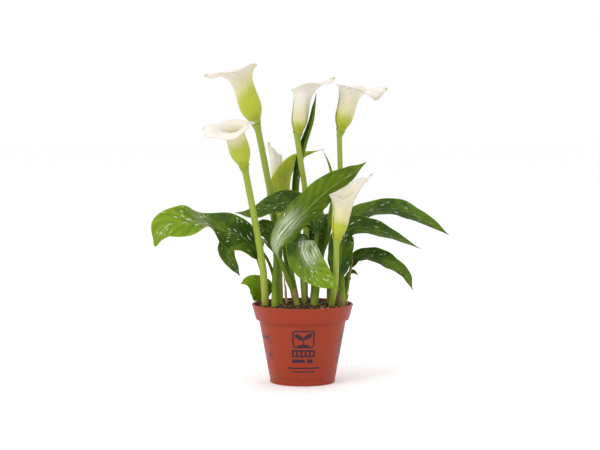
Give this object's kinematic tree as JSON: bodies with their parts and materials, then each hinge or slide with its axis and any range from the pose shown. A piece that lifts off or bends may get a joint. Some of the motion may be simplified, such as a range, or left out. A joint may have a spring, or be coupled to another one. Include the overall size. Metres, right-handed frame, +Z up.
{
  "type": "potted calla lily",
  "caption": "Calla lily in a plastic nursery pot: white funnel flowers on smooth stems over arching spotted leaves, for a table or sill.",
  "frame": {"origin": "centre of the pot's base, on the surface that it stands on", "axes": "+Z up; -Y is the front, where the pot is printed; +X is to the right seen from the front"},
  "size_m": [0.3482, 0.1901, 0.3748],
  "materials": {
    "pot_plastic": "satin terracotta with dark blue print",
    "soil": "loose dark potting compost with bark bits",
    "tuber": "rough brown skin",
    "flower_stem": "smooth waxy green",
    "spathe": "satin ivory with a green foot",
    "spadix": "matte yellow grains",
    "leaf": "satin dark green with white spots",
    "young_leaf": "satin yellow-green",
    "dry_leaf": "dry brown fibres"
  },
  "bodies": {
    "root": {"pot": "pot_plastic", "potting_soil": "soil", "tuber_left": "tuber", "tuber_middle": "tuber", "tuber_right": "tuber", "tuber_back": "tuber", "stem_tall": "flower_stem", "spathe_tall": "spathe", "spadix_tall": "spadix", "stem_front_left": "flower_stem", "spathe_front_left": "spathe", "spadix_front_left": "spadix", "stem_middle": "flower_stem", "spathe_middle": "spathe", "spadix_middle": "spadix", "stem_right": "flower_stem", "spathe_right": "spathe", "spadix_right": "spadix", "stem_low": "flower_stem", "spathe_low": "spathe", "spadix_low": "spadix", "stem_bud": "flower_stem", "spathe_bud": "spathe", "spadix_bud": "spadix", "leaf_left_long": "leaf", "leaf_left_small": "leaf", "leaf_left_sheath": "leaf", "leaf_left_young": "young_leaf", "leaf_spotted": "leaf", "leaf_silver": "leaf", "leaf_front_hanging": "leaf", "leaf_right_folded": "leaf", "leaf_right_upper": "leaf", "leaf_right_lower": "leaf", "leaf_right_tiny": "leaf", "leaf_rolled_tall": "leaf", "leaf_olive_arching": "young_leaf", "leaf_thin_upright": "young_leaf", "leaf_centre_back": "leaf", "leaf_back_left": "leaf", "leaf_back_middle": "leaf", "leaf_back_right": "leaf", "dry_strand_right": "dry_leaf", "dry_strand_left": "dry_leaf", "dry_sheath": "dry_leaf"}
  },
  "joints": []
}
